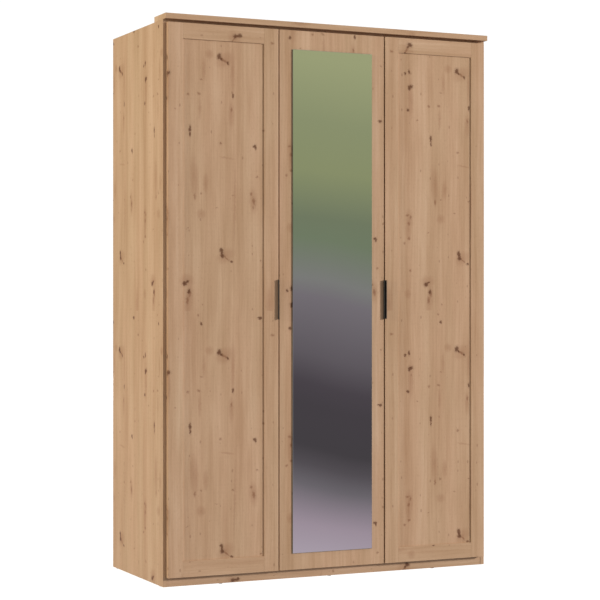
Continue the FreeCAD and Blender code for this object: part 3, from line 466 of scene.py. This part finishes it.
level = oak("oak_level", OVER_DEPTH, RIGHT, (0.12, 0.35))


# ---------------------------------------------------------------- other finishes
def metal(name, colour, rough, streaks, clouds):
    """Worn metal; streaks is how often its brushing changes in a metre each way, clouds its stains."""
    made, tree, shader = material(name, Metallic=1.0)
    here = place(tree)
    wear = noise(tree, stretched(tree, here, streaks), detail=4.0, rough=0.6)
    cloud = remap(tree, noise(tree, here, clouds, detail=3.0), 0.35, 0.7)
    tree.links.new(blend(tree, cloud, colour, scaled(colour, 0.80)), shader.inputs["Base Color"])
    tree.links.new(varied(tree, wear, rough * 0.75, rough * 1.3), shader.inputs["Roughness"])
    bumped(tree, shader, wear, strength=0.10, depth=0.0001)
    return made


def powder_coat(name, colour):
    made, tree, shader = material(name, Specular_IOR_Level=0.5)
    here = place(tree)
    skin = noise(tree, here, scale=1400.0)
    cloud = remap(tree, noise(tree, here, scale=60.0, detail=3.0), 0.4, 0.75)
    lighter = tuple(channel * 1.5 + 0.004 for channel in colour[:3]) + (1.0,)
    tree.links.new(blend(tree, cloud, colour, lighter), shader.inputs["Base Color"])
    tree.links.new(varied(tree, skin, 0.36, 0.50), shader.inputs["Roughness"])
    bumped(tree, shader, skin, strength=0.25, depth=0.0001)
    return made


def moulded(name, colour, rough):
    made, tree, shader = material(name, Specular_IOR_Level=0.45)
    here = place(tree)
    texture = noise(tree, here, scale=900.0, detail=3.0)
    cloud = noise(tree, here, scale=45.0)
    tree.links.new(blend(tree, cloud, colour, scaled(colour, 0.86)), shader.inputs["Base Color"])
    tree.links.new(varied(tree, texture, rough * 0.85, rough * 1.15), shader.inputs["Roughness"])
    bumped(tree, shader, texture, strength=0.15, depth=0.0001)
    return made


def beech():
    made, tree, shader = material("beech", Specular_IOR_Level=0.3)
    rays = noise(tree, stretched(tree, place(tree), (60.0, 900.0, 900.0)), detail=3.0)
    colour = blend(tree, varied(tree, rays, 0.0, 1.0), srgb(214, 176, 132), srgb(178, 134, 92))
    tree.links.new(colour, shader.inputs["Base Color"])
    tree.links.new(varied(tree, rays, 0.55, 0.75), shader.inputs["Roughness"])
    bumped(tree, shader, rays, strength=0.3, depth=0.0002)
    return made


RAW_BOARD = ((0.30, srgb(98, 70, 48)), (0.5, srgb(136, 102, 72)), (0.72, srgb(168, 134, 98)))
FIBRES_SHARE = 0.65
FLAKES_SHARE = 0.35


def hardboard():
    """Back sheet: printed oak towards the inside, raw brown board of fibres and flakes behind."""
    made, tree, shader = material("hardboard", Specular_IOR_Level=0.3)
    where = add(tree, "ShaderNodeTexCoord")
    here = where.outputs["Object"]
    fibres = noise(tree, stretched(tree, here, (260.0, 260.0, 260.0)), detail=5.0, rough=0.7)
    flakes = noise(tree, stretched(tree, here, (38.0, 38.0, 22.0)), detail=3.0)
    fibres_part = maths(tree, "MULTIPLY", fibres, FIBRES_SHARE)
    flakes_part = maths(tree, "MULTIPLY", flakes, FLAKES_SHARE)
    raw = ramp(tree, maths(tree, "ADD", fibres_part, flakes_part), RAW_BOARD)
    sheet = add(tree, "ShaderNodeGroup", node_tree=oak_sheet)
    tree.links.new(dot(tree, here, RIGHT), sheet.inputs["Across"])
    tree.links.new(dot(tree, here, UP), sheet.inputs["Along"])
    rearward = maths(tree, "GREATER_THAN", dot(tree, where.outputs["Normal"], (0.0, 1.0, 0.0)), 0.5)
    tree.links.new(blend(tree, rearward, sheet.outputs["Colour"], raw), shader.inputs["Base Color"])
    tree.links.new(varied(tree, fibres, 0.55, 0.80), shader.inputs["Roughness"])
    bumped(tree, shader, fibres, strength=0.35, depth=0.0003)
    return made


MIRROR_ROUGHNESS = 0.012
HAZE_ROUGHER = 0.02
EDGE_ROUGHER = 0.25


def silvered_glass():
    """Silvered mirror: bright face, greenish polished edge, painted back."""
    made, tree, shader = material("silvered_glass")
    where = add(tree, "ShaderNodeTexCoord")
    here = where.outputs["Object"]
    facing = dot(tree, where.outputs["Normal"], (0.0, -1.0, 0.0))
    front = maths(tree, "GREATER_THAN", facing, 0.5)
    behind = maths(tree, "LESS_THAN", facing, -0.5)
    haze = noise(tree, here, scale=2.2, detail=3.0)
    silver = blend(tree, haze, (0.93, 0.94, 0.93, 1.0), (0.88, 0.89, 0.885, 1.0))
    paint = blend(tree, noise(tree, here, scale=180.0, detail=3.0), srgb(96, 96, 98), srgb(120, 118, 116))
    edge = blend(tree, noise(tree, here, scale=90.0), srgb(58, 78, 66), srgb(88, 112, 96))
    colour = blend(tree, behind, blend(tree, front, edge, silver), paint)
    tree.links.new(colour, shader.inputs["Base Color"])
    face_roughness = maths(tree, "MULTIPLY_ADD", haze, HAZE_ROUGHER, MIRROR_ROUGHNESS)
    rougher = remap(tree, front, 0.0, 1.0, EDGE_ROUGHER, 0.0)
    tree.links.new(maths(tree, "ADD", face_roughness, rougher), shader.inputs["Roughness"])
    tree.links.new(front, shader.inputs["Metallic"])
    return made


def foam():
    made, tree, shader = material("foam", Specular_IOR_Level=0.2)
    cells = noise(tree, place(tree), scale=1100.0, detail=4.0, rough=0.7)
    tree.links.new(blend(tree, cells, srgb(236, 236, 232), srgb(188, 188, 184)), shader.inputs["Base Color"])
    tree.links.new(varied(tree, cells, 0.8, 0.95), shader.inputs["Roughness"])
    bumped(tree, shader, cells, strength=0.4, depth=0.0003)
    return made


# ---------------------------------------------------------------- pieces
BOARD_EASING = 0.0004
GLASS_EASING = 0.0008
WELD_DISTANCE = 1e-6
FLAT_WITHIN = math.radians(0.4)
SQUARE_WITHIN = math.radians(1)
SHORTEST_EASED = 0.012
ALONG_AN_AXIS = 0.9999


def to_be_eased(edge):
    """True for an outer edge that is long, lies along an axis and has square faces beside it."""
    if not edge.is_manifold or not edge.is_convex or edge.calc_length() < SHORTEST_EASED:
        return False
    run = (edge.verts[1].co - edge.verts[0].co).normalized()
    straight = max(abs(part) for part in run) > ALONG_AN_AXIS
    return straight and abs(edge.calc_face_angle(0.0) - math.pi / 2) < SQUARE_WITHIN


def eased(name, radius, finish):
    """A board as a finished piece: the CAD board's own shape with its long straight edges rounded."""
    shape = bmesh.new()
    shape.from_mesh(cad[name].data)
    bmesh.ops.remove_doubles(shape, verts=shape.verts, dist=WELD_DISTANCE)
    bmesh.ops.dissolve_limit(
        shape, angle_limit=FLAT_WITHIN, verts=shape.verts, edges=shape.edges, delimit=set()
    )
    chosen = [edge for edge in shape.edges if to_be_eased(edge)]
    bmesh.ops.bevel(
        shape, geom=chosen, offset=radius, segments=2, profile=0.5, affect="EDGES", clamp_overlap=False
    )
    bmesh.ops.triangulate(shape, faces=[face for face in shape.faces if len(face.verts) > 4])
    mesh = bpy.data.meshes.new(name + "_eased")
    shape.to_mesh(mesh)
    shape.free()
    piece = bpy.data.objects.new(name + "_eased", mesh)
    bpy.context.scene.collection.objects.link(piece)
    mesh.materials.append(finish)
    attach(piece, cad[name]["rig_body"])
    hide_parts(name)
    return piece


def framed_door(number):
    """The boards of a framed door, each with its finish."""
    parts = {
        "stile_left": fronts, "stile_right": fronts, "panel": fields,
        "rail_top": rails, "rail_bottom": rails,
    }
    return {f"door_{number}_{part}": finish for part, finish in parts.items()}


BOARDS = {
    **framed_door(1),
    "door_2_leaf": middle_front,
    **framed_door(3),
    "side_panel_left": sides, "side_panel_right": sides, "partition_panel": inner,
    "top_panel": level, "bottom_panel": level, "cornice": rim,
    "plinth_front": foot, "plinth_rear": foot,
    "shelf_1": level, "shelf_2": level, "shelf_3": level, "shelf_4": level, "hat_shelf": level,
}
for board_name, board_finish in BOARDS.items():
    eased(board_name, BOARD_EASING, board_finish)
eased("mirror", GLASS_EASING, silvered_glass())

CHROME = (0.80, 0.80, 0.82, 1.0)
ZINC = (0.56, 0.57, 0.60, 1.0)
NICKEL = (0.70, 0.68, 0.64, 1.0)
PLATED = (0.68, 0.66, 0.60, 1.0)
FINISHES = {
    "hardboard_back": hardboard(),
    "back_profile": moulded("profile_plastic", srgb(186, 150, 116), rough=0.5),
    "foam_tape": foam(),
    "handle_metal": powder_coat("black_powder_coat", srgb(50, 47, 44)),
    "chromed_steel": metal("chromed_steel", CHROME, 0.12, streaks=(8.0, 300.0, 300.0), clouds=40.0),
    "beech_dowel": beech(),
    "zinc_die_cast": metal("zinc_die_cast", ZINC, 0.42, streaks=(400.0, 400.0, 400.0), clouds=260.0),
    "nickel_steel": metal("nickel_steel", NICKEL, 0.26, streaks=(60.0, 60.0, 500.0), clouds=90.0),
    "fastener_steel": metal("fastener_steel", PLATED, 0.34, streaks=(300.0, 300.0, 300.0), clouds=200.0),
    "glide_plastic": moulded("glide_plastic", srgb(60, 46, 38), rough=0.45),
    "buffer_rubber": moulded("buffer_rubber", srgb(216, 214, 208), rough=0.35),
}
for node_name, node in cad.items():
    if slot_of[node_name] in FINISHES:
        node.data.materials.clear()
        node.data.materials.append(FINISHES[slot_of[node_name]])


# ---------------------------------------------------------------- stage
FLOOR_HALF = 30.0
FLOOR_GLOW = 0.87
BACKDROP_GLOW = 1.05
ROOM_GLOW = 1.12

# Drums round the studio: radius, lowest and highest edge.
ROOM_DRUM = (12.0, -9.0, 14.0)
BACKDROP_DRUM = (25.0, -0.1, 40.0)
DRUM_SIDES = 96

# The mirrored room: the height at which its colours start and end, how they slope to the right
# and how far they drift up and down.
ROOM_LOW = -1.7
ROOM_HIGH = 3.8
ROOM_SLOPE = 0.22
ROOM_LOWERED = -1.13
ROOM_DRIFT = 0.5
ROOM_COLOURS = (
    (0.01, srgb(166, 154, 166)), (0.066, srgb(154, 140, 152)), (0.14, srgb(104, 99, 105)),
    (0.18, srgb(81, 76, 81)), (0.215, srgb(66, 62, 66)), (0.29, srgb(67, 62, 67)),
    (0.33, srgb(72, 66, 72)), (0.385, srgb(93, 87, 93)), (0.50, srgb(113, 107, 113)),
    (0.535, srgb(120, 120, 118)), (0.61, srgb(109, 120, 98)), (0.65, srgb(110, 119, 96)),
    (0.745, srgb(134, 140, 104)), (0.84, srgb(136, 142, 108)), (0.96, srgb(152, 156, 118)),
)


def staged(name, corners, faces, finish):
    mesh = bpy.data.meshes.new(name)
    mesh.from_pydata(corners, [], faces)
    made = bpy.data.objects.new(name, mesh)
    bpy.context.scene.collection.objects.link(made)
    mesh.materials.append(finish)
    return made


def drum(name, radius, low, high, finish):
    """An open upright cylinder round the whole studio."""
    corners = []
    for rim_height in (low, high):
        for step in range(DRUM_SIDES):
            turn = 2 * math.pi * step / DRUM_SIDES
            corners.append((radius * math.cos(turn), radius * math.sin(turn), rim_height))
    walls = []
    for step in range(DRUM_SIDES):
        after = (step + 1) % DRUM_SIDES
        walls.append((step, after, DRUM_SIDES + after, DRUM_SIDES + step))
    return staged(name, corners, walls, finish)


def seen_only_by(piece, seen_by):
    """Light and every other kind of ray pass through this stage piece."""
    for kind in ("camera", "diffuse", "glossy", "transmission", "volume_scatter", "shadow"):
        setattr(piece, "visible_" + kind, kind == seen_by)


def floor_finish():
    made, tree, shader = material(
        "pale_floor",
        Roughness=0.9,
        Specular_IOR_Level=0.1,
        Emission_Color=WHITE,
        Emission_Strength=FLOOR_GLOW,
    )
    cloud = noise(tree, place(tree), scale=1.5, detail=3.0)
    pale = blend(tree, cloud, (0.56, 0.56, 0.56, 1.0), (0.54, 0.54, 0.54, 1.0))
    tree.links.new(pale, shader.inputs["Base Color"])
    return made


def unlit(name):
    """A new material with nothing in its tree yet but the output, whose surface is left to fill."""
    made = bpy.data.materials.new(name)
    made.use_nodes = True
    tree = made.node_tree
    tree.nodes.clear()
    return made, tree, tree.nodes.new("ShaderNodeOutputMaterial").inputs["Surface"]


def backdrop_finish():
    made, tree, surface = unlit("white_backdrop")
    glow = add(tree, "ShaderNodeEmission", {"Color": WHITE, "Strength": BACKDROP_GLOW})
    tree.links.new(glow.outputs["Emission"], surface)
    return made


def surroundings_finish():
    """The room that the mirror shows: blurred green above, a dark band, pale lilac floor below."""
    made, tree, surface = unlit("surroundings")
    here = place(tree)
    spot = add(tree, "ShaderNodeSeparateXYZ", {"Vector": here})
    slant = maths(tree, "MULTIPLY_ADD", spot.outputs["X"], ROOM_SLOPE, ROOM_LOWERED)
    height = maths(tree, "ADD", spot.outputs["Z"], slant)
    height = maths(tree, "ADD", height, centred(tree, noise(tree, here, scale=0.35), ROOM_DRIFT))
    colour = ramp(tree, remap(tree, height, ROOM_LOW, ROOM_HIGH), ROOM_COLOURS, smooth=False)
    glow = add(tree, "ShaderNodeEmission", {"Color": colour, "Strength": ROOM_GLOW})
    tree.links.new(glow.outputs["Emission"], surface)
    return made


floor_corners = [(-FLOOR_HALF, -FLOOR_HALF, 0), (FLOOR_HALF, -FLOOR_HALF, 0)]
floor_corners += [(FLOOR_HALF, FLOOR_HALF, 0), (-FLOOR_HALF, FLOOR_HALF, 0)]
floor = staged("studio_floor", floor_corners, [(0, 1, 2, 3)], floor_finish())
room = drum("reflected_surroundings", *ROOM_DRUM, surroundings_finish())
backdrop = drum("white_backdrop", *BACKDROP_DRUM, backdrop_finish())
seen_only_by(floor, "camera")
seen_only_by(room, "glossy")
seen_only_by(backdrop, "camera")


# ---------------------------------------------------------------- light and camera
MIDDLE = Vector((0.0, 0.0, 1.05))


def softbox(name, position, size, power, colour):
    """A round lamp that points at the middle of the wardrobe and doesn't show in the mirror."""
    lamp = bpy.data.lights.new(name, "AREA")
    lamp.shape = "DISK"
    lamp.size = size
    lamp.energy = power
    lamp.color = colour
    made = bpy.data.objects.new(name, lamp)
    bpy.context.scene.collection.objects.link(made)
    made.location = position
    made.rotation_euler = (MIDDLE - Vector(position)).to_track_quat("-Z", "Y").to_euler()
    made.visible_glossy = False


DAYLIGHT = (1.0, 0.99, 0.98)
WARM = (1.0, 0.98, 0.81)
softbox("key_light", (19.0, -12.3, 6.3), size=3.4, power=5480.0, colour=DAYLIGHT)
softbox("left_light", (-9.0, -0.8, 2.5), size=3.0, power=590.0, colour=WARM)
softbox("rear_light", (5.0, 16.0, 5.0), size=4.0, power=800.0, colour=DAYLIGHT)

WORLD_STRENGTH = 0.34
world = bpy.data.worlds.new("studio")
bpy.context.scene.world = world
world.use_nodes = True
background = world.node_tree.nodes["Background"]
background.inputs["Color"].default_value = WHITE
background.inputs["Strength"].default_value = WORLD_STRENGTH

LENS = 106.716
SENSOR_WIDTH = 36.0
EYE = (-2.9514, -6.3290, 1.0456)
TURNED_RIGHT = 24.980
camera_data = bpy.data.cameras.new("camera")
camera_data.lens = LENS
camera_data.sensor_width = SENSOR_WIDTH
camera_data.clip_start = 0.1
camera_data.clip_end = 200.0
camera = bpy.data.objects.new("camera", camera_data)
bpy.context.scene.collection.objects.link(camera)
camera.location = EYE
camera.rotation_euler = (math.radians(90), 0.0, math.radians(-TURNED_RIGHT))
bpy.context.scene.camera = camera

bpy.context.scene.view_settings.view_transform = "Standard"
bpy.context.scene.view_settings.look = "None"
